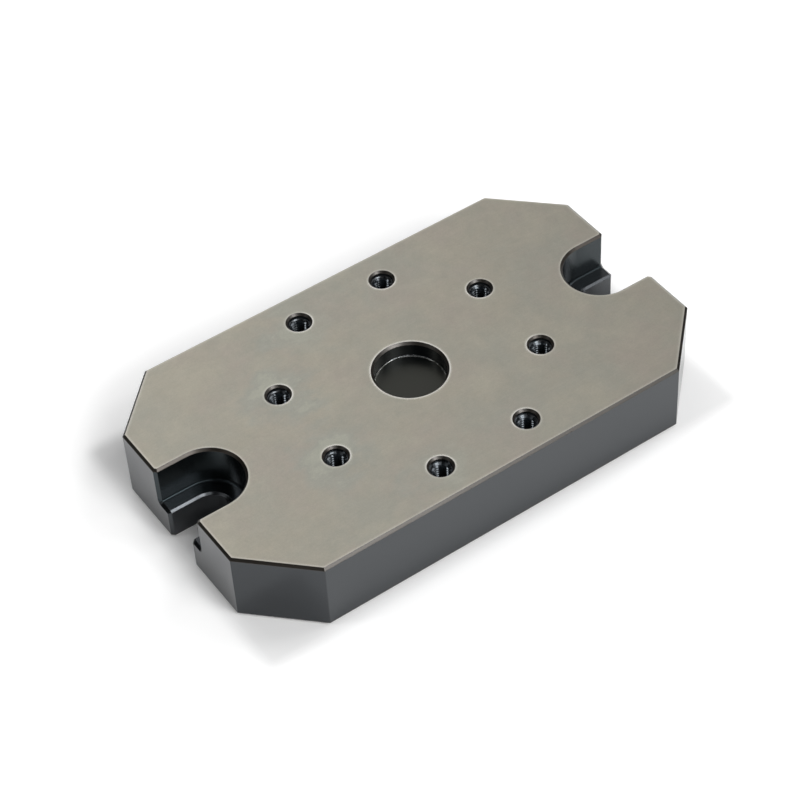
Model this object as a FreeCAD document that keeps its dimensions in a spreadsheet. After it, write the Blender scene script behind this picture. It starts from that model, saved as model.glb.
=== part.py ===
# Chuck adapter plate
# One octagonal block of steel, machined all over. Its ground top carries a chuck, and the two stepped
# slots in its ends take the screws and washers that hold it down on a slotted machine table.
#
# Frame: millimetres, +X along the length, +Y across, +Z up out of the chuck face.
# Origin: the middle of the underside.

import FreeCAD
import math
import os
import Part
import Sketcher
from FreeCAD import Placement, Rotation, Vector

# Driving dimensions: name, value, what it measures
drivingSizes = [
    ("plateLength", 174.5, "end to end"),
    ("plateWidth", 103.0, "side to side"),
    ("plateThickness", 26.0, "underside to chuck face"),
    ("cornerCut", 20.2, "leg of the 45 degree cut at each corner"),
    ("edgeChamfer", 0.9, "chamfer round the chuck face, the underside and the register"),
    ("slotWidth", 13.0, "through part of an end slot, clears an M12 screw"),
    ("slotInset", 11.4, "end face to the centre of the slot's round end"),
    ("seatWidth", 24.0, "wide upper part of an end slot, takes an M12 washer"),
    ("seatDepth", 14.2, "chuck face to the ledge that the washer sits on"),
    ("seatFillet", 0.3, "cutter radius between the seat's wall and its ledge"),
    ("lipChamfer", 0.7, "chamfer where the ledge drops into the through slot"),
    ("mouthChamfer", 1.0, "chamfer on the slot's edges at the end face"),
    ("registerDiameter", 23.4, "centre register for the spigot of a chuck"),
    ("registerDepth", 5.8, "chuck face to the register's floor"),
    ("registerFillet", 0.4, "cutter radius round the register's floor"),
    ("boltCircle", 85.0, "pitch circle of the tapped holes"),
    ("holeCount", 8, "tapped holes on the pitch circle"),
    ("firstHoleAngle", 22.5, "degrees from +X to the first tapped hole"),
    ("threadDiameter", 6.0, "tapped hole's wall, at the root of its M6 thread"),
    ("reliefDiameter", 7.4, "plain relief above the thread"),
    ("reliefDepth", 1.6, "chuck face to the relief's floor"),
    ("reliefChamfer", 0.7, "chamfer at the relief's mouth"),
    ("leadChamfer", 0.4, "lead-in at each end of the thread"),
]

sameSize = 0.01    # two lengths nearer than this are one length


def makeSizeSheet(doc):
    # Name, value and meaning of each driving dimension, one to a row
    sheet = doc.addObject("Spreadsheet::Sheet", "sizes")
    for row, (name, value, meaning) in enumerate(drivingSizes, start=1):
        sheet.set(f"A{row}", name)
        sheet.set(f"B{row}", str(value))
        sheet.set(f"C{row}", meaning)
        sheet.setAlias(f"B{row}", name)
    doc.recompute()
    return sheet


# Sketches

def addSketch(body, name, onChuckFace=True):
    # A sketch seen from above: on the underside's plane, or lifted to the chuck face
    sketch = body.newObject("Sketcher::SketchObject", name)
    floorPlane = [plane for plane in body.Origin.OriginFeatures if plane.Role == "XY_Plane"][0]
    sketch.AttachmentSupport = [(floorPlane, "")]
    sketch.MapMode = "FlatFace"
    if onChuckFace:
        sketch.setExpression(".AttachmentOffset.Base.z", "sizes.plateThickness")
    return sketch


def addSize(sketch, name, constraint, expression):
    # A named sketch dimension that follows the sheet
    index = sketch.addConstraint(constraint)
    sketch.renameConstraint(index, name)
    sketch.setExpression(f"Constraints.{name}", expression)


def drawRectangle(sketch, length, width, lengthSize, widthSize):
    # A rectangle centred on the origin
    right = length / 2
    back = width / 2
    corners = [
        Vector(-right, -back, 0),
        Vector(right, -back, 0),
        Vector(right, back, 0),
        Vector(-right, back, 0),
    ]
    sides = []
    for start, end in zip(corners, corners[1:] + corners[:1]):
        sides.append(sketch.addGeometry(Part.LineSegment(start, end)))
    front, rightSide, rear, leftSide = sides
    for side, following in zip(sides, sides[1:] + sides[:1]):
        sketch.addConstraint(Sketcher.Constraint("Coincident", side, 2, following, 1))
    for side in (front, rear):
        sketch.addConstraint(Sketcher.Constraint("Horizontal", side))
    for side in (rightSide, leftSide):
        sketch.addConstraint(Sketcher.Constraint("Vertical", side))
    sketch.addConstraint(Sketcher.Constraint("Symmetric", front, 1, rear, 1, -1, 1))
    addSize(sketch, "length", Sketcher.Constraint("DistanceX", front, 1, front, 2, length), lengthSize)
    addSize(sketch, "width", Sketcher.Constraint("DistanceY", rightSide, 1, rightSide, 2, width), widthSize)


def drawOpenSlot(sketch, sheet, width, widthName):
    # A slot along X with a half-round inner end, drawn past the +X end face so that it cuts it open
    centre = sheet.plateLength / 2 - sheet.slotInset
    mouth = sheet.plateLength / 2 + sheet.slotInset
    radius = width / 2
    circle = Part.Circle(Vector(centre, 0, 0), Vector(0, 0, 1), radius)
    roundEnd = sketch.addGeometry(Part.ArcOfCircle(circle, math.pi / 2, 3 * math.pi / 2))
    nearWall = sketch.addGeometry(Part.LineSegment(Vector(centre, -radius, 0), Vector(mouth, -radius, 0)))
    opening = sketch.addGeometry(Part.LineSegment(Vector(mouth, -radius, 0), Vector(mouth, radius, 0)))
    farWall = sketch.addGeometry(Part.LineSegment(Vector(mouth, radius, 0), Vector(centre, radius, 0)))
    sketch.addConstraint([
        Sketcher.Constraint("Tangent", roundEnd, 2, nearWall, 1),
        Sketcher.Constraint("Coincident", nearWall, 2, opening, 1),
        Sketcher.Constraint("Coincident", opening, 2, farWall, 1),
        Sketcher.Constraint("Tangent", farWall, 2, roundEnd, 1),
        Sketcher.Constraint("Horizontal", nearWall),
        Sketcher.Constraint("Vertical", opening),
        Sketcher.Constraint("PointOnObject", roundEnd, 3, -1),
    ])
    addSize(sketch, "radius", Sketcher.Constraint("Radius", roundEnd, radius), f"sizes.{widthName} / 2")
    addSize(
        sketch,
        "centre",
        Sketcher.Constraint("DistanceX", -1, 1, roundEnd, 3, centre),
        "sizes.plateLength / 2 - sizes.slotInset",
    )
    addSize(
        sketch,
        "mouth",
        Sketcher.Constraint("DistanceX", -1, 1, opening, 1, mouth),
        "sizes.plateLength / 2 + sizes.slotInset",
    )


def drawCentreCircle(sketch, diameter, diameterName):
    ring = sketch.addGeometry(Part.Circle(Vector(0, 0, 0), Vector(0, 0, 1), diameter / 2))
    sketch.addConstraint(Sketcher.Constraint("Coincident", ring, 3, -1, 1))
    addSize(sketch, "diameter", Sketcher.Constraint("Diameter", ring, diameter), f"sizes.{diameterName}")


def drawFirstHole(sketch, sheet, diameter, diameterName):
    # A circle at the end of a spoke: the spoke's length and angle place the first hole of the ring
    angle = math.radians(sheet.firstHoleAngle)
    reach = sheet.boltCircle / 2
    centre = Vector(reach * math.cos(angle), reach * math.sin(angle), 0)
    spoke = sketch.addGeometry(Part.LineSegment(Vector(0, 0, 0), centre), True)
    ring = sketch.addGeometry(Part.Circle(centre, Vector(0, 0, 1), diameter / 2))
    sketch.addConstraint(Sketcher.Constraint("Coincident", spoke, 1, -1, 1))
    sketch.addConstraint(Sketcher.Constraint("Coincident", ring, 3, spoke, 2))
    addSize(sketch, "reach", Sketcher.Constraint("Distance", spoke, reach), "sizes.boltCircle / 2")
    addSize(sketch, "angle", Sketcher.Constraint("Angle", spoke, angle), "sizes.firstHoleAngle * 1 deg")
    addSize(sketch, "diameter", Sketcher.Constraint("Diameter", ring, diameter), f"sizes.{diameterName}")


# Cuts and edge breaks

def addCut(body, name, sketch, depthName=None):
    # Cuts the sketch down from the chuck face, to a depth or right through
    volumeBefore = body.Shape.Volume
    cut = body.newObject("PartDesign::Pocket", name)
    cut.Profile = sketch
    if depthName:
        cut.setExpression("Length", f"sizes.{depthName}")
    else:
        cut.Type = "ThroughAll"
    sketch.Visibility = False
    body.Document.recompute()
    if body.Shape.Volume >= volumeBefore:
        raise RuntimeError(f"{name} cuts nothing")
    return cut


def edgesWhere(feature, test):
    # Names of the feature's edges that pass the test
    return [f"Edge{number}" for number, edge in enumerate(feature.Shape.Edges, start=1) if test(edge)]


def near(length, other):
    return abs(length - other) < sameSize


def liesAt(edge, height):
    return near(edge.BoundBox.ZMin, height) and near(edge.BoundBox.ZMax, height)


def isRing(edge, diameter, height):
    isRound = isinstance(edge.Curve, Part.Circle)
    return isRound and liesAt(edge, height) and near(edge.Curve.Radius, diameter / 2)


def isSlotEdge(edge, width, height):
    # Straight wall or half-round end of a slot of this width, at this height
    if isinstance(edge.Curve, Part.Circle):
        return isRing(edge, width, height)
    runsAlongX = near(edge.BoundBox.YLength, 0)
    return runsAlongX and liesAt(edge, height) and near(abs(edge.CenterOfMass.y), width / 2)


def outlineEdges(feature, height):
    # The outer outline of the level face at this height, end slots and all
    flat = [face for face in feature.Shape.Faces if near(face.BoundBox.ZLength, 0)]
    level = [face for face in flat if near(face.BoundBox.ZMax, height)]
    outline = max(level, key=lambda face: face.Area).OuterWire.Edges
    return edgesWhere(feature, lambda edge: any(edge.isSame(side) for side in outline))


def breakEdges(body, kind, name, edges, sizeProperty, sizeName):
    # A fillet or a chamfer on the named edges of the newest feature
    base = body.Tip
    edgeBreak = body.newObject(f"PartDesign::{kind}", name)
    edgeBreak.Base = (base, edges)
    edgeBreak.setExpression(sizeProperty, f"sizes.{sizeName}")
    body.Document.recompute()
    return edgeBreak


def chamferEdges(body, name, edges, sizeName):
    return breakEdges(body, "Chamfer", name, edges, "Size", sizeName)


def filletEdges(body, name, edges, sizeName):
    return breakEdges(body, "Fillet", name, edges, "Radius", sizeName)


# The plate, in the order that a machinist would cut it

def sawBlock(body, sheet):
    # The rectangular blank, then the four corners milled off
    outline = addSketch(body, "blockOutline", onChuckFace=False)
    drawRectangle(outline, sheet.plateLength, sheet.plateWidth, "sizes.plateLength", "sizes.plateWidth")
    block = body.newObject("PartDesign::Pad", "block")
    block.Profile = outline
    block.setExpression("Length", "sizes.plateThickness")
    outline.Visibility = False
    body.Document.recompute()
    corners = edgesWhere(block, lambda edge: near(edge.BoundBox.ZLength, sheet.plateThickness))
    chamferEdges(body, "cornerCuts", corners, "cornerCut")


def cutEndSlots(body, sheet):
    # A wide seat down to the ledge, a narrower slot through it, and the same at the other end
    seatSketch = addSketch(body, "seatSketch")
    drawOpenSlot(seatSketch, sheet, sheet.seatWidth, "seatWidth")
    seat = addCut(body, "seat", seatSketch, "seatDepth")
    slotSketch = addSketch(body, "slotSketch")
    drawOpenSlot(slotSketch, sheet, sheet.slotWidth, "slotWidth")
    slot = addCut(body, "slot", slotSketch)
    otherEnd = body.newObject("PartDesign::Mirrored", "otherEnd")
    otherEnd.Originals = [seat, slot]
    acrossPlane = [plane for plane in body.Origin.OriginFeatures if plane.Role == "YZ_Plane"][0]
    otherEnd.MirrorPlane = (acrossPlane, [""])
    body.Tip = otherEnd
    body.Document.recompute()


def breakSlotEdges(body, sheet):
    # The cutter's radius along the ledge, the lip's chamfer, then the stepped edge in each end face
    ledge = sheet.plateThickness - sheet.seatDepth
    wallFoot = edgesWhere(body.Tip, lambda edge: isSlotEdge(edge, sheet.seatWidth, ledge))
    filletEdges(body, "ledgeCorner", wallFoot, "seatFillet")
    lip = edgesWhere(body.Tip, lambda edge: isSlotEdge(edge, sheet.slotWidth, ledge))
    chamferEdges(body, "ledgeLip", lip, "lipChamfer")

    def isMouthEdge(edge):
        box = edge.BoundBox
        inEndFace = near(box.XLength, 0) and near(abs(edge.CenterOfMass.x), sheet.plateLength / 2)
        return inEndFace and max(abs(box.YMin), abs(box.YMax)) < sheet.seatWidth / 2 + sameSize

    chamferEdges(body, "slotMouths", edgesWhere(body.Tip, isMouthEdge), "mouthChamfer")


def cutRegister(body, sheet):
    # The blind centre hole that a chuck's spigot locates in
    sketch = addSketch(body, "registerSketch")
    drawCentreCircle(sketch, sheet.registerDiameter, "registerDiameter")
    addCut(body, "register", sketch, "registerDepth")
    floor = sheet.plateThickness - sheet.registerDepth
    floorEdge = edgesWhere(body.Tip, lambda edge: isRing(edge, sheet.registerDiameter, floor))
    filletEdges(body, "registerCorner", floorEdge, "registerFillet")


def drillTappedHoles(body, sheet):
    # The first hole's relief and thread wall, then the whole ring
    reliefSketch = addSketch(body, "reliefSketch")
    drawFirstHole(reliefSketch, sheet, sheet.reliefDiameter, "reliefDiameter")
    relief = addCut(body, "relief", reliefSketch, "reliefDepth")
    threadSketch = addSketch(body, "threadSketch")
    drawFirstHole(threadSketch, sheet, sheet.threadDiameter, "threadDiameter")
    threadWall = addCut(body, "threadWall", threadSketch)
    ring = body.newObject("PartDesign::PolarPattern", "holeRing")
    ring.Originals = [relief, threadWall]
    upAxis = [axis for axis in body.Origin.OriginFeatures if axis.Role == "Z_Axis"][0]
    ring.Axis = (upAxis, [""])
    ring.Angle = 360
    ring.setExpression("Occurrences", "sizes.holeCount")
    body.Tip = ring
    body.Document.recompute()


def breakHoleEdges(body, sheet):
    # Mouth of each relief, then the lead-in at each end of each thread
    top = sheet.plateThickness
    reliefFloor = top - sheet.reliefDepth
    mouths = edgesWhere(body.Tip, lambda edge: isRing(edge, sheet.reliefDiameter, top))
    chamferEdges(body, "holeMouths", mouths, "reliefChamfer")

    def isThreadEnd(edge):
        return any(isRing(edge, sheet.threadDiameter, height) for height in (reliefFloor, 0))

    chamferEdges(body, "threadLeads", edgesWhere(body.Tip, isThreadEnd), "leadChamfer")


def breakOuterEdges(body, sheet):
    # One chamfer round the chuck face, the underside and the register's rim
    top = sheet.plateThickness
    rim = edgesWhere(body.Tip, lambda edge: isRing(edge, sheet.registerDiameter, top))
    outline = outlineEdges(body.Tip, top) + outlineEdges(body.Tip, 0)
    chamferEdges(body, "outerEdges", outline + rim, "edgeChamfer")


def makeAdapterPlate(doc, sheet):
    body = doc.addObject("PartDesign::Body", "adapterPlate")
    body.Label = "adapter_plate"
    body.Placement = Placement(Vector(0, 0, 0), Rotation())
    sawBlock(body, sheet)
    cutEndSlots(body, sheet)
    breakSlotEdges(body, sheet)
    cutRegister(body, sheet)
    breakOuterEdges(body, sheet)
    drillTappedHoles(body, sheet)
    breakHoleEdges(body, sheet)
    return body


def checkDocument(doc, pieces):
    # A failed feature keeps its old shape without a word, so each one is asked
    for item in doc.Objects:
        if "Invalid" in item.State or "Error" in item.State:
            raise RuntimeError(f"{item.Label} failed: {item.State}")
    for piece in pieces:
        if piece.Shape.isNull() or not piece.Shape.isValid():
            raise RuntimeError(f"{piece.Label} has no valid shape")


def writePieces(pieces):
    os.makedirs("parts", exist_ok=True)
    for piece in pieces:
        piece.Shape.exportStep(f"parts/{piece.Label}.step")
        print(f"{piece.Label}: {piece.Shape.Volume / 1000:.1f} cm3, {len(piece.Shape.Faces)} faces")


doc = FreeCAD.newDocument("chuckAdapterPlate")
sizes = makeSizeSheet(doc)
pieces = [makeAdapterPlate(doc, sizes)]
doc.recompute()
checkDocument(doc, pieces)
writePieces(pieces)
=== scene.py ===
import bmesh
import bpy
import math
from mathutils import Matrix, Quaternion, Vector


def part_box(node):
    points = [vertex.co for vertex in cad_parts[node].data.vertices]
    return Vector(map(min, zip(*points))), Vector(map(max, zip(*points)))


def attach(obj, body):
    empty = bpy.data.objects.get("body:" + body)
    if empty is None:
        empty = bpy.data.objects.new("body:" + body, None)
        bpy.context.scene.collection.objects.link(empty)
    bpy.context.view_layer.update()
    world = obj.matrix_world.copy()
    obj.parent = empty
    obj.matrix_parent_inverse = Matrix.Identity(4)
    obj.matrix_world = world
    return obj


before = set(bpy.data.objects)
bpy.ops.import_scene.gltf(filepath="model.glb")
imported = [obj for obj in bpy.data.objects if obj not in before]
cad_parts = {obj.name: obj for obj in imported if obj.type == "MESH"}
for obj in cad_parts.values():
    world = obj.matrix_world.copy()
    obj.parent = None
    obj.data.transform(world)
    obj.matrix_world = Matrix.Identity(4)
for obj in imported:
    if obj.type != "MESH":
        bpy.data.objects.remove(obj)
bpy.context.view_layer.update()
mm = 0.001
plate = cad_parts["adapter_plate"]
plateLow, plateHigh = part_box("adapter_plate")
print("frame loaded, plate", [round((b - a) / mm, 2) for a, b in zip(plateLow, plateHigh)])


# small helpers for node trees

def newMaterial(name):
    material = bpy.data.materials.new(name)
    material.use_nodes = True
    material.node_tree.nodes.clear()
    return material


def addNode(tree, kind, **settings):
    node = tree.nodes.new(kind)
    for key, value in settings.items():
        setattr(node, key, value)
    return node


def plug(tree, source, target):
    # a link from another node, or else a plain value
    if isinstance(source, bpy.types.NodeSocket):
        tree.links.new(source, target)
    else:
        target.default_value = source


def addMath(tree, operation, first, second=0.5, clamp=False):
    node = addNode(tree, "ShaderNodeMath", operation=operation, use_clamp=clamp)
    plug(tree, first, node.inputs[0])
    plug(tree, second, node.inputs[1])
    return node.outputs["Value"]


def addVectorMath(tree, operation, first, second=(0, 0, 0)):
    node = addNode(tree, "ShaderNodeVectorMath", operation=operation)
    plug(tree, first, node.inputs[0])
    plug(tree, second, node.inputs[1])
    return node.outputs["Vector"]


def addLength(tree, vector):
    node = addNode(tree, "ShaderNodeVectorMath", operation="LENGTH")
    plug(tree, vector, node.inputs[0])
    return node.outputs["Value"]


def addParts(tree, vector):
    node = addNode(tree, "ShaderNodeSeparateXYZ")
    plug(tree, vector, node.inputs["Vector"])
    return node.outputs


def addShaded(tree, color, level):
    node = addNode(tree, "ShaderNodeVectorMath", operation="SCALE")
    plug(tree, color, node.inputs[0])
    plug(tree, level, node.inputs["Scale"])
    return node.outputs["Vector"]


def addRange(tree, value, fromLow, fromHigh, toLow=0.0, toHigh=1.0, kind="LINEAR"):
    node = addNode(tree, "ShaderNodeMapRange", interpolation_type=kind)
    plug(tree, value, node.inputs["Value"])
    node.inputs["From Min"].default_value = fromLow
    node.inputs["From Max"].default_value = fromHigh
    node.inputs["To Min"].default_value = toLow
    node.inputs["To Max"].default_value = toHigh
    return node.outputs["Result"]


def addMix(tree, factor, first, second, kind="FLOAT"):
    node = addNode(tree, "ShaderNodeMix", data_type=kind)
    plug(tree, factor, node.inputs["Factor"])
    plug(tree, first, node.inputs["A"])
    plug(tree, second, node.inputs["B"])
    return node.outputs["Result"]


def addColorMix(tree, factor, first, second):
    # a plain colour is three numbers, and the node wants a fourth
    if isinstance(first, tuple):
        first = (*first, 1)
    if isinstance(second, tuple):
        second = (*second, 1)
    return addMix(tree, factor, first, second, "RGBA")


def addNoise(tree, coords, noise):
    mapping = addNode(tree, "ShaderNodeMapping")
    mapping.inputs["Scale"].default_value = noise.get("stretch", (1, 1, 1))
    mapping.inputs["Rotation"].default_value = (0, 0, noise.get("turn", 0.0))
    plug(tree, coords, mapping.inputs["Vector"])
    texture = addNode(tree, "ShaderNodeTexNoise")
    texture.inputs["Scale"].default_value = noise["scale"]
    texture.inputs["Detail"].default_value = noise["detail"]
    texture.inputs["Roughness"].default_value = noise["roughness"]
    plug(tree, mapping.outputs["Vector"], texture.inputs["Vector"])
    return texture.outputs["Fac"]


def addPatches(tree, coords, noise, least=0.0, most=1.0):
    # noise cut down to the span between its low and high
    return addRange(tree, addNoise(tree, coords, noise), noise["low"], noise["high"], least, most)


def arrangeNodes(tree, columnWidth=220, rowHeight=260):
    # one column for each step back from the output, so that the tree reads from left to right
    steps = {node.name: 0 for node in tree.nodes}
    moved = True
    while moved:
        moved = False
        for link in tree.links:
            behind = steps[link.to_node.name] + 1
            if steps[link.from_node.name] < behind:
                steps[link.from_node.name] = behind
                moved = True
    rows = {}
    for node in tree.nodes:
        step = steps[node.name]
        node.location = (-columnWidth * step, -rowHeight * rows.get(step, 0))
        rows[step] = rows.get(step, 0) + 1


# plate finish: the two flat faces are ground bright after blackening, everything else stays black
plateFinish = {
    # ground faces
    "groundWarm": (0.472, 0.442, 0.369),
    "groundCool": (0.440, 0.427, 0.367),
    "groundRose": (0.468, 0.425, 0.368),
    "groundPale": (0.500, 0.474, 0.393),
    "patchMost": 0.8,               # how strong the rose and pale patches get
    "blotchDepth": 0.05,            # shade of the mottle, up and down
    "grindDepth": 0.06,             # and of the grinding marks
    "grindSpan": (0.35, 0.65),      # the part of their noise that shades them
    "wheelShare": 0.25,             # faint lines along the plate, against fine grain
    "groundRoughness": 0.40,
    "groundUneven": 0.04,
    "groundSkin": 0.02 * mm,        # how deep the bright face reaches
    "levelFacing": 0.97,            # upward share of a normal that counts as level
    # oil round the tapped holes, mostly at the left end
    "oilStain": (0.476, 0.477, 0.408),
    "oilEdge": (0.430, 0.426, 0.374),
    "oilReach": 7.5 * mm,           # how far oil has crept out of the tapped holes
    "oilRing": 15.0 * mm,           # and how far it has dulled the steel round that
    "oilCore": 0.6,                 # where the stain is full, as a share of its reach
    "oilCreep": 1.1,                # how ragged it is, as a share of its reach
    "oilSide": -30.0 * mm,          # full from here to the left
    "oilLeast": 0.1,                # what is left of it at the right
    "boltRadius": 42.5 * mm,
    "boltStep": 45.0,               # degrees from hole to hole
    "holeField": 48.0 * mm,         # radius that holds the holes
    # painted highlight along the bright face's edges, which are stoned
    "rimReach": 1.45 * mm,
    "rimTurn": (0.996, 0.986),      # none and full, by how far the normal turns
    "rimHighlight": (0.88, 0.86, 0.80),
    "rimOuter": 0.40,               # how much of it the outline has, against the holes
    "rimFade": 4.0 * mm,
    # black surfaces
    "blackBase": (0.0024, 0.0031, 0.0034),
    "blackTint": (0.87, 0.93, 1.0),
    "blackShade": (0.8, 1.2),       # its darker and paler clouds
    "blackRoughness": 0.21,
    "blackUneven": (-0.03, 0.04),
    "blackIor": 1.70,
    "blackLevel": 0.5,              # how much they reflect, 0.5 is usual
    "blackEdge": 0.15 * mm,         # no black edge is truly sharp
    "blackWorn": (0.045, 0.042, 0.040),
    "wearReach": 0.22 * mm,         # how far in from a sharp edge the black is rubbed
    "wearTurn": (0.995, 0.960),
    # creases: each pair is none and full, by how open the surface is
    "creaseReach": 0.6 * mm,
    "creaseRubbed": (0.70, 0.92),
    # painted glints in the register's corner
    "glintCrease": (0.84, 0.70),
    # painted shade in the slots' creases
    "creaseShadeSpan": (0.98, 0.84),
    "glintColor": (0.85, 0.87, 0.87),
    "creaseShadeTint": (0.30, 0.33, 0.37),
    "creaseRoughness": 0.60,
    # tapped holes, oily, so bluer and glossier
    "holeTint": (0.72, 0.79, 0.86),
    "holeRoughness": 0.17,
    # seats of the end slots, whose walls and chamfers get painted shade
    "seatSide": 13.01 * mm,         # half the seat's width with its mouth chamfer
    "seatLevel": 11.85 * mm,        # just above its ledge
    "seatShadeTint": (0.35, 0.46, 0.51),
    "seatChamferShadeTint": (0.60, 0.55, 0.51),
    # register
    "registerField": 30.0 * mm,     # radius that holds the register
    "registerLevel": 20.4 * mm,     # its floor lies just below this
    "registerTint": (0.68, 0.68, 0.58),
    "registerRoughness": 0.32,
    # corner cuts and slot mouths came out smoother, and get painted shade that darkens their reflection
    "cutSum": 118.3 * mm,           # length and width added up, on the corner cuts
    "cutChamfer": 1.3 * mm,         # it is at most this much less on their chamfers
    "cutShadeTint": (0.60, 0.65, 0.71),
    "cutRoughness": 0.13,
    "mouthDepth": 0.97 * mm,
    "mouthFacing": 0.9,             # endward share of a normal, less than this on a mouth chamfer
    "crossFacing": -0.1,            # product of a normal's x and y on the two corners with painted shade
    "crossShadeLevel": 0.05,             # how little the chamfers of those corners reflect, as painted shade
    # chamfers and a hair of wall beside them, hand stoned, so browner and duller than the faces
    "chamferDepth": 0.9 * mm,
    "chamferFade": 0.06 * mm,       # their colour starts this much deeper
    "chamferOver": 0.02 * mm,       # and is full this much less deep
    "chamferBase": (0.009, 0.007, 0.005),
    "chamferTint": (0.84, 0.80, 0.76),
    "chamferRoughness": 0.30,
    "bumpStrength": 0.10,
    "bumpDepth": 0.006 * mm,
    # noise: features to a metre, how finely and roughly they break up, and the span that is used
    "stainNoise": {"scale": 34, "detail": 6.0, "roughness": 0.65, "low": 0.40, "high": 0.60},
    "roseNoise": {"scale": 48, "detail": 5.0, "roughness": 0.68, "turn": 0.7, "low": 0.46, "high": 0.64},
    "paleNoise": {"scale": 62, "detail": 3.0, "roughness": 0.55, "turn": 1.9, "low": 0.50, "high": 0.68},
    "blotchNoise": {"scale": 240, "detail": 6.0, "roughness": 0.75, "low": 0.30, "high": 0.70},
    "creepNoise": {
        "scale": 120, "detail": 5.0, "roughness": 0.65, "stretch": (0.6, 1, 1), "low": 0.30, "high": 0.70,
    },
    "fleckNoise": {"scale": 900, "detail": 3.0, "roughness": 0.6, "low": 0.38, "high": 0.66},
    "spotNoise": {"scale": 300, "detail": 4.0, "roughness": 0.75, "low": 0.44, "high": 0.53},
    "cloudNoise": {"scale": 60, "detail": 4.0, "roughness": 0.6},
    "grainNoise": {"scale": 2600, "detail": 2.0, "roughness": 0.7},
    "wheelNoise": {"scale": 1700, "detail": 2.0, "roughness": 0.6, "stretch": (0.08, 1, 1)},
    "noiseSpan": (0.3, 0.7),        # nearly all of a noise lies between these
}


def addEdgeMask(tree, normal, reach, turns):
    # how far a rounded normal turns away from the true one
    bevel = addNode(tree, "ShaderNodeBevel", samples=8)
    bevel.inputs["Radius"].default_value = reach
    turned = addNode(tree, "ShaderNodeVectorMath", operation="DOT_PRODUCT")
    plug(tree, bevel.outputs["Normal"], turned.inputs[0])
    plug(tree, normal, turned.inputs[1])
    return addRange(tree, turned.outputs["Value"], *turns)


def addGroundMask(tree, place, facing, look):
    # level, and in the top or bottom plane
    upright = addMath(tree, "ABSOLUTE", facing["Z"])
    level = addMath(tree, "GREATER_THAN", upright, look["levelFacing"])
    nearTop = addMath(tree, "GREATER_THAN", place["Z"], plateHigh[2] - look["groundSkin"])
    nearBase = addMath(tree, "LESS_THAN", place["Z"], plateLow[2] + look["groundSkin"])
    inPlane = addMath(tree, "ADD", nearTop, nearBase, clamp=True)
    return addMath(tree, "MULTIPLY", inPlane, level)


def addChamferMask(tree, place, look):
    # close to the top or bottom plane
    middle = (plateHigh[2] + plateLow[2]) / 2
    offset = addMath(tree, "SUBTRACT", place["Z"], middle)
    offset = addMath(tree, "ABSOLUTE", offset)
    start = plateHigh[2] - middle - look["chamferDepth"]
    return addRange(tree, offset, start - look["chamferFade"], start + look["chamferOver"])


def addCutMask(tree, total, length, facing, look):
    # the four slanted corners lie furthest out along the diagonals
    corner = addMath(tree, "GREATER_THAN", total, look["cutSum"])
    # the slot mouths' chamfers are slanted too, close to the ends
    endward = addMath(tree, "ABSOLUTE", facing["X"])
    slanted = addMath(tree, "LESS_THAN", endward, look["mouthFacing"])
    outmost = addMath(tree, "GREATER_THAN", length, plateHigh[0] - look["mouthDepth"])
    mouth = addMath(tree, "MULTIPLY", slanted, outmost)
    return addMath(tree, "MAXIMUM", corner, mouth)


def addCrossMask(tree, total, facing, chamfer, look):
    # two opposite corners get painted shade on their chamfers
    product = addMath(tree, "MULTIPLY", facing["X"], facing["Y"])
    crossed = addMath(tree, "LESS_THAN", product, look["crossFacing"])
    edge = addMath(tree, "GREATER_THAN", total, look["cutSum"] - look["cutChamfer"])
    both = addMath(tree, "MULTIPLY", crossed, edge)
    return addMath(tree, "MULTIPLY", both, chamfer)


def addSeatMask(tree, place, width, slots, look):
    # above the ledge, and between the seat's walls
    between = addMath(tree, "LESS_THAN", width, look["seatSide"])
    above = addMath(tree, "GREATER_THAN", place["Z"], look["seatLevel"])
    seat = addMath(tree, "MULTIPLY", between, above)
    return addMath(tree, "MULTIPLY", seat, slots)


def addZones(tree, place, reach, facing, look):
    # masks, each of them 1 on its own part of the plate
    zones = {}
    zones["ground"] = addGroundMask(tree, place, facing, look)
    zones["chamfer"] = addChamferMask(tree, place, look)
    length = addMath(tree, "ABSOLUTE", place["X"])
    width = addMath(tree, "ABSOLUTE", place["Y"])
    total = addMath(tree, "ADD", length, width)
    zones["cut"] = addCutMask(tree, total, length, facing, look)
    zones["cross"] = addCrossMask(tree, total, facing, zones["chamfer"], look)
    # the register lies inside the ring of holes, the slots outside it
    zones["register"] = addMath(tree, "LESS_THAN", reach, look["registerField"])
    zones["slots"] = addMath(tree, "GREATER_THAN", reach, look["holeField"])
    zones["awayFromHoles"] = addMath(tree, "MAXIMUM", zones["register"], zones["slots"])
    zones["holes"] = addMath(tree, "SUBTRACT", 1.0, zones["awayFromHoles"])
    zones["seat"] = addSeatMask(tree, place, width, zones["slots"], look)
    low = addMath(tree, "LESS_THAN", place["Z"], look["registerLevel"])
    zones["registerFloor"] = addMath(tree, "MULTIPLY", low, zones["register"])
    return zones


def addHoleDistance(tree, coords, place, look):
    # folds the plane into one slice, so that one distance serves all the holes
    step = math.radians(look["boltStep"])
    angle = addMath(tree, "ARCTAN2", place["Y"], place["X"])
    slices = addMath(tree, "DIVIDE", angle, step)
    part = addMath(tree, "FRACT", slices)
    centred = addMath(tree, "SUBTRACT", part, 0.5)
    turn = addMath(tree, "MULTIPLY", centred, step)
    flat = addVectorMath(tree, "MULTIPLY", coords, (1, 1, 0))
    radius = addLength(tree, flat)
    cosine = addMath(tree, "COSINE", turn)
    sine = addMath(tree, "SINE", turn)
    outward = addMath(tree, "MULTIPLY", cosine, radius)
    outward = addMath(tree, "SUBTRACT", outward, look["boltRadius"])
    sideways = addMath(tree, "MULTIPLY", sine, radius)
    outward = addMath(tree, "POWER", outward, 2.0)
    sideways = addMath(tree, "POWER", sideways, 2.0)
    both = addMath(tree, "ADD", outward, sideways)
    return addMath(tree, "SQRT", both)


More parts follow.
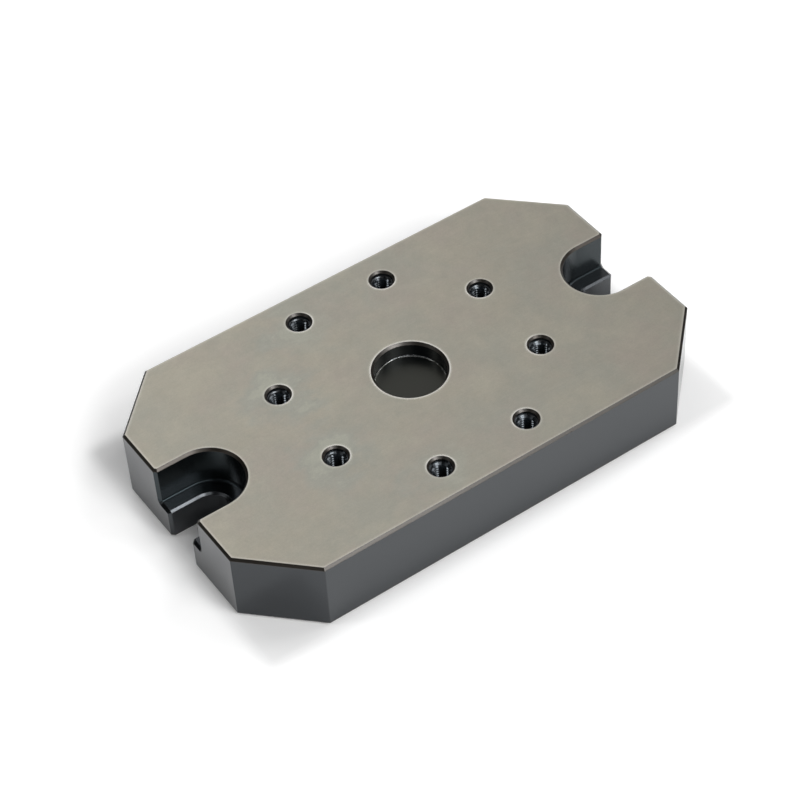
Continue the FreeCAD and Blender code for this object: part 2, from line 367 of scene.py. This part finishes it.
def addOilMasks(tree, coords, place, look):
    reach = look["oilReach"]
    ragged = look["oilCreep"] * reach
    distance = addHoleDistance(tree, coords, place, look)
    creep = addPatches(tree, coords, look["creepNoise"], -ragged, ragged)
    shore = addMath(tree, "ADD", distance, creep)
    stain = addRange(tree, shore, reach, reach * look["oilCore"])
    dulled = addRange(tree, shore, look["oilRing"], reach)
    share = addRange(tree, place["X"], 0.0, look["oilSide"], look["oilLeast"], 1.0)
    stain = addMath(tree, "MULTIPLY", stain, share)
    dulled = addMath(tree, "MULTIPLY", dulled, share)
    return stain, dulled


def addGroundColor(tree, coords, place, grind, look):
    cool = addPatches(tree, coords, look["stainNoise"])
    rose = addPatches(tree, coords, look["roseNoise"], 0.0, look["patchMost"])
    pale = addPatches(tree, coords, look["paleNoise"], 0.0, look["patchMost"])
    stain, dulled = addOilMasks(tree, coords, place, look)
    color = addColorMix(tree, cool, look["groundWarm"], look["groundCool"])
    color = addColorMix(tree, rose, color, look["groundRose"])
    color = addColorMix(tree, pale, color, look["groundPale"])
    color = addColorMix(tree, dulled, color, look["oilEdge"])
    color = addColorMix(tree, stain, color, look["oilStain"])
    mottle = look["blotchDepth"]
    marks = look["grindDepth"]
    blotch = addPatches(tree, coords, look["blotchNoise"], 1 - mottle, 1 + mottle)
    level = addRange(tree, grind, *look["grindSpan"], 1 - marks, 1 + marks)
    level = addMath(tree, "MULTIPLY", level, blotch)
    return addShaded(tree, color, level)


def addRimHighlight(tree, normal, reach, look):
    # painted highlight of the stoned edge, full round the holes and weaker along the outline
    rim = addEdgeMask(tree, normal, look["rimReach"], look["rimTurn"])
    field = look["holeField"]
    share = addRange(tree, reach, field, field + look["rimFade"], 1.0, look["rimOuter"])
    return addMath(tree, "MULTIPLY", rim, share)


def addBlackColor(tree, coords, normal, cloud, openness, zones, look):
    # darker and paler clouds, and flecks of bare steel along rubbed edges
    base = addColorMix(tree, zones["chamfer"], look["blackBase"], look["chamferBase"])
    level = addRange(tree, cloud, *look["noiseSpan"], *look["blackShade"])
    tone = addShaded(tree, base, level)
    edge = addEdgeMask(tree, normal, look["wearReach"], look["wearTurn"])
    fleck = addPatches(tree, coords, look["fleckNoise"])
    clear = addRange(tree, openness, *look["creaseRubbed"])
    rubbed = addMath(tree, "MULTIPLY", edge, fleck)
    rubbed = addMath(tree, "MULTIPLY", rubbed, clear)
    rubbed = addMath(tree, "MULTIPLY", rubbed, zones["awayFromHoles"])
    return addColorMix(tree, rubbed, tone, look["blackWorn"])


def addCornerGlint(tree, coords, openness, zones, look):
    # painted highlight: bright metal spots in the corner of the register's floor stand in for its glints,
    # and being metallic they also reflect the lamps
    deep = addRange(tree, openness, *look["glintCrease"])
    spots = addPatches(tree, coords, look["spotNoise"])
    paintedGlint = addMath(tree, "MULTIPLY", deep, spots)
    return addMath(tree, "MULTIPLY", paintedGlint, zones["register"])


def addTint(tree, slotCreaseShade, zones, look):
    # later zones lie over earlier ones
    # painted shade on the corner cuts and slot mouths
    tint = addColorMix(tree, zones["cut"], look["blackTint"], look["cutShadeTint"])
    tint = addColorMix(tree, zones["registerFloor"], tint, look["registerTint"])
    # painted shade on the seats' walls, and below on their chamfers
    tint = addColorMix(tree, zones["seat"], tint, look["seatShadeTint"])
    tint = addColorMix(tree, zones["holes"], tint, look["holeTint"])
    chamferTint = addColorMix(tree, zones["seat"], look["chamferTint"], look["seatChamferShadeTint"])
    tint = addColorMix(tree, zones["chamfer"], tint, chamferTint)
    # painted shade in the slots' creases
    tint = addColorMix(tree, slotCreaseShade, tint, look["creaseShadeTint"])
    return addColorMix(tree, zones["ground"], tint, (1, 1, 1))


def addRoughness(tree, grind, cloud, slotCreaseShade, zones, look):
    least = look["groundRoughness"] - look["groundUneven"]
    most = look["groundRoughness"] + look["groundUneven"]
    ground = addRange(tree, grind, *look["noiseSpan"], least, most)
    black = addMix(tree, zones["cut"], look["blackRoughness"], look["cutRoughness"])
    black = addMix(tree, zones["registerFloor"], black, look["registerRoughness"])
    black = addMix(tree, zones["holes"], black, look["holeRoughness"])
    black = addMix(tree, zones["chamfer"], black, look["chamferRoughness"])
    black = addMix(tree, slotCreaseShade, black, look["creaseRoughness"])
    uneven = addRange(tree, cloud, *look["noiseSpan"], *look["blackUneven"])
    black = addMath(tree, "ADD", black, uneven)
    return addMix(tree, zones["ground"], black, ground)


def addNormal(tree, normal, grain, grind, zones, look):
    # soft black edges, sharp ground ones, and a fine bump on both
    softEdge = addNode(tree, "ShaderNodeBevel", samples=6)
    softEdge.inputs["Radius"].default_value = look["blackEdge"]
    normal = addMix(tree, zones["ground"], softEdge.outputs["Normal"], normal, "VECTOR")
    bump = addNode(tree, "ShaderNodeBump")
    bump.inputs["Strength"].default_value = look["bumpStrength"]
    bump.inputs["Distance"].default_value = look["bumpDepth"]
    plug(tree, addMix(tree, zones["ground"], grain, grind), bump.inputs["Height"])
    plug(tree, normal, bump.inputs["Normal"])
    return bump.outputs["Normal"]


def makePlateFinish(look):
    material = newMaterial("ground_and_blackened_steel")
    tree = material.node_tree
    output = addNode(tree, "ShaderNodeOutputMaterial")
    shader = addNode(tree, "ShaderNodeBsdfPrincipled")
    plug(tree, shader.outputs["BSDF"], output.inputs["Surface"])
    coords = addNode(tree, "ShaderNodeTexCoord").outputs["Object"]
    normal = addNode(tree, "ShaderNodeNewGeometry").outputs["Normal"]
    place = addParts(tree, coords)
    reach = addLength(tree, coords)
    zones = addZones(tree, place, reach, addParts(tree, normal), look)

    grain = addNoise(tree, coords, look["grainNoise"])
    wheel = addNoise(tree, coords, look["wheelNoise"])
    grind = addMix(tree, look["wheelShare"], grain, wheel)
    cloud = addNoise(tree, coords, look["cloudNoise"])
    crease = addNode(tree, "ShaderNodeAmbientOcclusion", samples=8, only_local=True)
    crease.inputs["Distance"].default_value = look["creaseReach"]
    openness = crease.outputs["AO"]
    paintedGlint = addCornerGlint(tree, coords, openness, zones, look)
    # painted shade: the slots' creases get a darker reflection and are made matte, by how closed in they
    # are
    slotCreaseShade = addRange(tree, openness, *look["creaseShadeSpan"])
    slotCreaseShade = addMath(tree, "MULTIPLY", slotCreaseShade, zones["slots"])

    ground = addGroundColor(tree, coords, place, grind, look)
    # painted highlight along the ground face's edges
    ground = addColorMix(tree, addRimHighlight(tree, normal, reach, look), ground, look["rimHighlight"])
    black = addBlackColor(tree, coords, normal, cloud, openness, zones, look)
    # painted highlight spots in the register's corner, also made metallic
    black = addColorMix(tree, paintedGlint, black, look["glintColor"])
    plug(tree, addColorMix(tree, zones["ground"], black, ground), shader.inputs["Base Color"])
    plug(tree, addMath(tree, "MAXIMUM", zones["ground"], paintedGlint), shader.inputs["Metallic"])
    plug(tree, addRoughness(tree, grind, cloud, slotCreaseShade, zones, look), shader.inputs["Roughness"])
    plug(tree, look["blackIor"], shader.inputs["IOR"])
    # painted shade: the chamfers of two opposite corners barely reflect
    level = addMix(tree, zones["cross"], look["blackLevel"], look["crossShadeLevel"])
    plug(tree, level, shader.inputs["Specular IOR Level"])
    plug(tree, addTint(tree, slotCreaseShade, zones, look), shader.inputs["Specular Tint"])
    plug(tree, addNormal(tree, normal, grain, grind, zones, look), shader.inputs["Normal"])
    arrangeNodes(tree)
    return material


plate.material_slots[0].material = makePlateFinish(plateFinish)
print("plate finished")


# thread ridges in the eight tapped holes; the plate's own hole wall is their root
threads = {
    "pitch": 1.0 * mm,
    "wallRadius": 3.0 * mm,
    "crestRadius": 2.5 * mm,
    "crestWidth": 0.26 * mm,
    "rootWidth": 0.99 * mm,
    "sunk": 0.05 * mm,              # how far the ridge's foot is let into the wall
    "top": 24.0 * mm,               # where the lead cones meet the wall
    "bottom": 0.4 * mm,
    "early": 0.05 * mm,             # the first turn starts this far below the bottom
    "runOut": 0.35 * mm,            # how far up and down the lead cones it fades
    "coneSunk": 0.01 * mm,          # how far it is let into them
    "stepsPerTurn": 32,
    "sharpAngle": 25.0,
    "boltRadius": 42.5 * mm,
    "holes": 8,
    "firstAngle": 22.5,
    "blackBase": (0.003, 0.005, 0.007),
    "rubbedBase": (0.016, 0.019, 0.022),
    "rubbedSpan": (0.35, 0.75),     # the noise at which none and all is rubbed
    "tint": (0.80, 0.88, 0.96),
    "ior": 1.62,
    "roughness": (0.08, 0.21),      # least and most
    "noiseSpan": (0.3, 0.7),        # nearly all of the noise lies between these
    "rubNoise": {"scale": 1500, "detail": 3.0, "roughness": 0.6},
}


def makeThreads(size):
    mesh = bmesh.new()
    foot = size["wallRadius"] + size["sunk"]
    start = size["bottom"] - size["early"]
    turns = (size["top"] - start) / size["pitch"]
    outline = (
        (foot, -size["rootWidth"] / 2),
        (size["crestRadius"], -size["crestWidth"] / 2),
        (size["crestRadius"], size["crestWidth"] / 2),
        (foot, size["rootWidth"] / 2),
    )
    points = [mesh.verts.new((radius, 0, start + height)) for radius, height in outline]
    profile = mesh.faces.new(points)
    bmesh.ops.spin(
        mesh, geom=points + list(profile.edges) + [profile], axis=(0, 0, 1), angle=math.tau * turns,
        dvec=(0, 0, size["pitch"] / size["stepsPerTurn"]), steps=round(size["stepsPerTurn"] * turns),
    )
    lowest = size["bottom"] - size["runOut"]
    highest = size["top"] + size["runOut"]
    for point in mesh.verts:        # run out along the lead cones
        point.co.z = min(max(point.co.z, lowest), highest)
        radius = point.co.xy.length
        upper = size["wallRadius"] + point.co.z - size["top"]
        lower = size["wallRadius"] + size["bottom"] - point.co.z
        wanted = max(radius, upper + size["coneSunk"], lower + size["coneSunk"])
        point.co.xy *= wanted / radius
    bmesh.ops.recalc_face_normals(mesh, faces=mesh.faces)
    one = mesh.verts[:] + mesh.edges[:] + mesh.faces[:]
    turn = Matrix.Rotation(math.radians(size["firstAngle"]), 3, "Z")
    bmesh.ops.translate(mesh, verts=mesh.verts, vec=(size["boltRadius"], 0, 0))
    bmesh.ops.rotate(mesh, verts=mesh.verts, matrix=turn)
    for index in range(1, size["holes"]):
        copy = bmesh.ops.duplicate(mesh, geom=one)
        moved = [item for item in copy["geom"] if isinstance(item, bmesh.types.BMVert)]
        turn = Matrix.Rotation(math.tau * index / size["holes"], 3, "Z")
        bmesh.ops.rotate(mesh, verts=moved, matrix=turn)
    data = bpy.data.meshes.new("tapped_threads")
    mesh.to_mesh(data)
    mesh.free()
    data.shade_smooth()
    data.set_sharp_from_angle(angle=math.radians(size["sharpAngle"]))
    piece = bpy.data.objects.new("tapped_threads", data)
    bpy.context.scene.collection.objects.link(piece)
    return piece


def makeThreadFinish(look):
    material = newMaterial("blackened_thread")
    tree = material.node_tree
    output = addNode(tree, "ShaderNodeOutputMaterial")
    shader = addNode(tree, "ShaderNodeBsdfPrincipled")
    plug(tree, shader.outputs["BSDF"], output.inputs["Surface"])
    plug(tree, look["ior"], shader.inputs["IOR"])
    plug(tree, (*look["tint"], 1), shader.inputs["Specular Tint"])
    coords = addNode(tree, "ShaderNodeTexCoord").outputs["Object"]
    rub = addNoise(tree, coords, look["rubNoise"])
    rubbed = addRange(tree, rub, *look["rubbedSpan"])
    tone = addColorMix(tree, rubbed, look["blackBase"], look["rubbedBase"])
    rough = addRange(tree, rub, *look["noiseSpan"], *look["roughness"])
    plug(tree, tone, shader.inputs["Base Color"])
    plug(tree, rough, shader.inputs["Roughness"])
    arrangeNodes(tree)
    return material


tappedThreads = makeThreads(threads)
tappedThreads.data.materials.append(makeThreadFinish(threads))
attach(tappedThreads, "root")
print("threads cut,", len(tappedThreads.data.polygons), "faces")


# studio
studio = {
    "floorSize": 40.0,
    "floorGap": 0.02 * mm,
    "floorColor": (0.92, 0.92, 0.92),
    "glowNear": 0.03,               # the floor's own light beside the plate, kept low so that painted shade adds to the real shadow round its foot
    "glowFar": 0.25,                # and further out
    "glowEnd": 7.0 * mm,            # reached this far out from the plate's outline
    "horizonLevel": 0.06,
    "skyLevel": 0.03,
    "skyStart": 0.32,               # how far up, where 1 is straight overhead
    "boxDistance": 3.0,
}

# azimuth in degrees from +Y towards +X, elevation in degrees above the floor
softboxes = {
    "key": {"azimuth": 172, "elevation": 38, "width": 1.3, "height": 1.0, "glow": 8.4},
    "key_side": {"azimuth": 146, "elevation": 40, "width": 1.6, "height": 1.1, "glow": 2.6},
    "fill": {"azimuth": 204, "elevation": 30, "width": 1.4, "height": 1.3, "glow": 3.0},
    "right": {"azimuth": 94, "elevation": 42, "width": 1.8, "height": 1.6, "glow": 3.6},
    "right_spot": {"azimuth": 150, "elevation": 55, "width": 0.7, "height": 0.5, "glow": 9.0},
    "left": {"azimuth": 270, "elevation": 24, "width": 1.8, "height": 1.4, "glow": 0.6},
    "left_spot": {"azimuth": 298, "elevation": 49, "width": 0.6, "height": 0.5, "glow": 9.0},
    "back_left": {"azimuth": 354, "elevation": 31, "width": 1.4, "height": 1.4, "glow": 1.87},
    "back": {"azimuth": 22, "elevation": 31, "width": 1.4, "height": 1.4, "glow": 0.88},
    "back_right": {"azimuth": 48, "elevation": 30, "width": 1.4, "height": 1.4, "glow": 0.12},
    "back_top": {"azimuth": 15, "elevation": 62, "width": 2.4, "height": 1.6, "glow": 0.82},
}


def addOutlineDistance(tree, coords):
    # how far out from the plate's own outline
    mirrored = addVectorMath(tree, "ABSOLUTE", coords)
    beyond = addVectorMath(tree, "SUBTRACT", mirrored, (plateHigh[0], plateHigh[1], 0))
    outside = addVectorMath(tree, "MAXIMUM", beyond, (0, 0, 0))
    return addLength(tree, outside)


def makeFloorFinish(look):
    # paper that also glows, for the camera and for what mirrors it
    material = newMaterial("pale_floor")
    tree = material.node_tree
    output = addNode(tree, "ShaderNodeOutputMaterial")
    both = addNode(tree, "ShaderNodeAddShader")
    paper = addNode(tree, "ShaderNodeBsdfDiffuse")
    glow = addNode(tree, "ShaderNodeEmission")
    plug(tree, (*look["floorColor"], 1), paper.inputs["Color"])
    rays = addNode(tree, "ShaderNodeLightPath").outputs
    seen = addMath(tree, "ADD", rays["Is Camera Ray"], rays["Is Glossy Ray"])
    seen = addMath(tree, "ADD", seen, rays["Is Transmission Ray"], clamp=True)
    coords = addNode(tree, "ShaderNodeTexCoord").outputs["Object"]
    away = addOutlineDistance(tree, coords)
    # weaker glow close to the plate's outline: painted shade round its foot
    level = addRange(tree, away, 0.0, look["glowEnd"], look["glowNear"], look["glowFar"], "SMOOTHSTEP")
    plug(tree, addMath(tree, "MULTIPLY", seen, level), glow.inputs["Strength"])
    plug(tree, paper.outputs["BSDF"], both.inputs[0])
    plug(tree, glow.outputs["Emission"], both.inputs[1])
    plug(tree, both.outputs["Shader"], output.inputs["Surface"])
    arrangeNodes(tree)
    return material


def makeFloor(look):
    mesh = bmesh.new()
    bmesh.ops.create_grid(mesh, x_segments=1, y_segments=1, size=look["floorSize"] / 2)
    data = bpy.data.meshes.new("floor")
    mesh.to_mesh(data)
    mesh.free()
    data.materials.append(makeFloorFinish(look))
    floor = bpy.data.objects.new("floor", data)
    floor.location.z = plateLow[2] - look["floorGap"]
    bpy.context.scene.collection.objects.link(floor)
    return floor


def addSoftbox(name, box, distance):
    azimuth = math.radians(box["azimuth"])
    elevation = math.radians(box["elevation"])
    reach = math.cos(elevation)
    toward = Vector((math.sin(azimuth) * reach, math.cos(azimuth) * reach, math.sin(elevation)))
    data = bpy.data.lights.new(name, "AREA")
    data.shape = "RECTANGLE"
    data.size = box["width"]
    data.size_y = box["height"]
    data.energy = box["glow"] * math.pi * box["width"] * box["height"]
    lamp = bpy.data.objects.new(name, data)
    lamp.location = toward * distance
    lamp.rotation_mode = "QUATERNION"
    lamp.rotation_quaternion = toward.to_track_quat("Z", "Y")
    bpy.context.scene.collection.objects.link(lamp)
    return lamp


def makeWorld(look):
    # a pale wall low down, darker above it
    world = bpy.data.worlds.new("studio")
    world.use_nodes = True
    tree = world.node_tree
    coords = addNode(tree, "ShaderNodeTexCoord").outputs["Generated"]
    height = addParts(tree, coords)["Z"]
    level = addRange(tree, height, 0.0, look["skyStart"], look["horizonLevel"], look["skyLevel"])
    background = tree.nodes["Background"]
    plug(tree, (1, 1, 1, 1), background.inputs["Color"])
    plug(tree, level, background.inputs["Strength"])
    arrangeNodes(tree)
    bpy.context.scene.world = world


makeFloor(studio)
for name, box in softboxes.items():
    addSoftbox(f"softbox_{name}", box, studio["boxDistance"])
makeWorld(studio)
bpy.context.scene.view_settings.view_transform = "Standard"
print("studio lit")


# camera, set where the photograph was taken from
shot = {
    "spot": (-0.28225, -0.43927, 0.56248),
    "aim": (-0.01023, -0.00902, 0.02611),
    "roll": -3.78,
    "lens": 106.68,
    "sensor": 36.0,
    "nearest": 0.05,
    "furthest": 50.0,
}


def addCamera(view):
    data = bpy.data.cameras.new("camera")
    data.lens = view["lens"]
    data.sensor_width = view["sensor"]
    data.clip_start = view["nearest"]
    data.clip_end = view["furthest"]
    camera = bpy.data.objects.new("camera", data)
    look = Vector(view["aim"]) - Vector(view["spot"])
    roll = Quaternion((0, 0, 1), math.radians(view["roll"]))
    camera.location = view["spot"]
    camera.rotation_mode = "QUATERNION"
    camera.rotation_quaternion = look.to_track_quat("-Z", "Y") @ roll
    bpy.context.scene.collection.objects.link(camera)
    bpy.context.scene.camera = camera
    return camera


addCamera(shot)
print("camera set")
